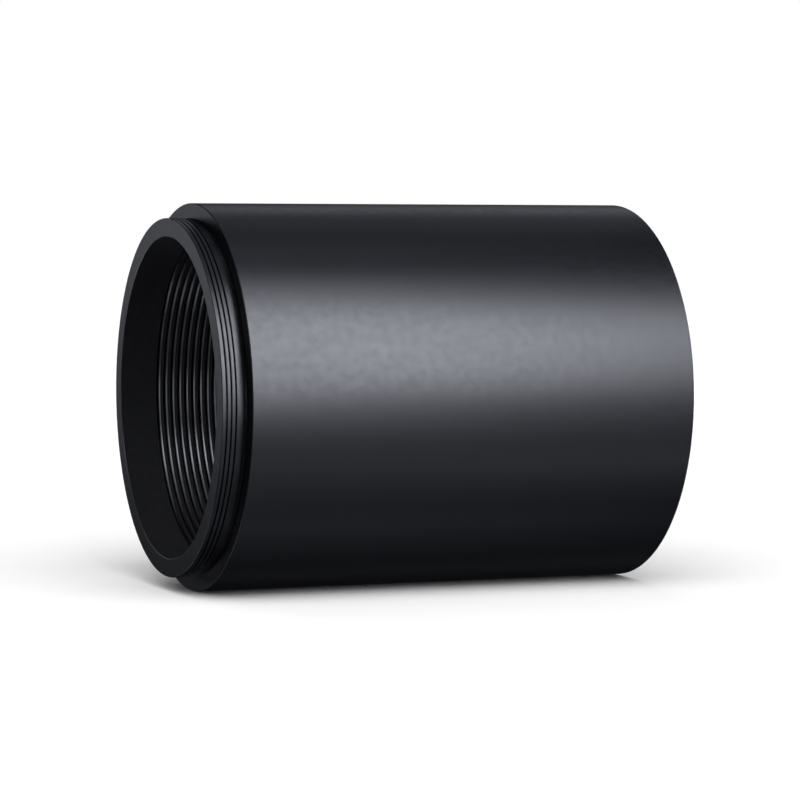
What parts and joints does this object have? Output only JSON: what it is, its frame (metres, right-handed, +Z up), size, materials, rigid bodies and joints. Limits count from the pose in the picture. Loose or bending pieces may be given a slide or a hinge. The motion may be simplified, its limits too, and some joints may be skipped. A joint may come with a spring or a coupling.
{
  "type": "barlow lens",
  "caption": "In-line Barlow lens: a plain black tube with a male thread and grooved bore at the camera end, and a lens cell behind a female thread at the telescope end.",
  "frame": {"origin": "centre of the shoulder that the camera side screws up against, on the optical axis", "axes": "+X along the optical axis towards the telescope, +Z up as the tube lies on its side"},
  "size_m": [0.0657, 0.052, 0.052],
  "materials": {
    "barrel_anodised": "bead-blasted, satin black anodised",
    "cell_anodised": "turned, matte black anodised",
    "ring_anodised": "turned, semi-matte black anodised",
    "spacer_metal": "thin blackened ring",
    "spring_steel": "rolled spring steel",
    "nitrile": "smooth black nitrile",
    "slip_plastic": "thin black acetal",
    "crown_glass": "polished, green-violet multi-coated",
    "flint_glass": "polished, green-violet multi-coated"
  },
  "bodies": {
    "barrel": {"barrel": "barrel_anodised"},
    "cell_o_ring": {"cell_o_ring": "nitrile"},
    "lens_cell": {"lens_cell": "cell_anodised", "lens_seat_ring": "slip_plastic", "crown_element": "crown_glass", "element_spacer": "spacer_metal", "flint_element": "flint_glass"},
    "slip_ring": {"retainer_slip_ring": "slip_plastic"},
    "retaining_ring": {"lens_retaining_ring": "ring_anodised"},
    "lock_washer": {"cell_lock_washer": "spring_steel"},
    "lock_ring": {"cell_lock_ring": "ring_anodised"}
  },
  "joints": [
    {"name": "cell_travel", "type": "slide", "parent": "barrel", "child": "cell_o_ring", "axis": [1, 0, 0], "range_m": [0, 0.009]},
    {"name": "cell_turn", "type": "hinge", "parent": "cell_o_ring", "child": "lens_cell", "pos_m": [0.038, 0, 0], "axis": [1, 0, 0], "range_deg": [0, 4320]},
    {"name": "retainer_travel", "type": "slide", "parent": "lens_cell", "child": "slip_ring", "axis": [1, 0, 0], "range_m": [0, 0.0025]},
    {"name": "retainer_turn", "type": "hinge", "parent": "slip_ring", "child": "retaining_ring", "pos_m": [0.0515, 0, 0], "axis": [1, 0, 0], "range_deg": [0, 1800]},
    {"name": "lock_travel", "type": "slide", "parent": "lens_cell", "child": "lock_washer", "axis": [1, 0, 0], "range_m": [0, 0.00263]},
    {"name": "lock_turn", "type": "hinge", "parent": "lock_washer", "child": "lock_ring", "pos_m": [0.0544, 0, 0], "axis": [1, 0, 0], "range_deg": [0, 1260]}
  ],
  "couplings": [
    {"joint": "cell_travel", "follows": "cell_turn", "m_per_rad": 0.00011937},
    {"joint": "retainer_travel", "follows": "retainer_turn", "m_per_rad": 0.000079577},
    {"joint": "lock_travel", "follows": "lock_turn", "m_per_rad": 0.00011937}
  ]
}
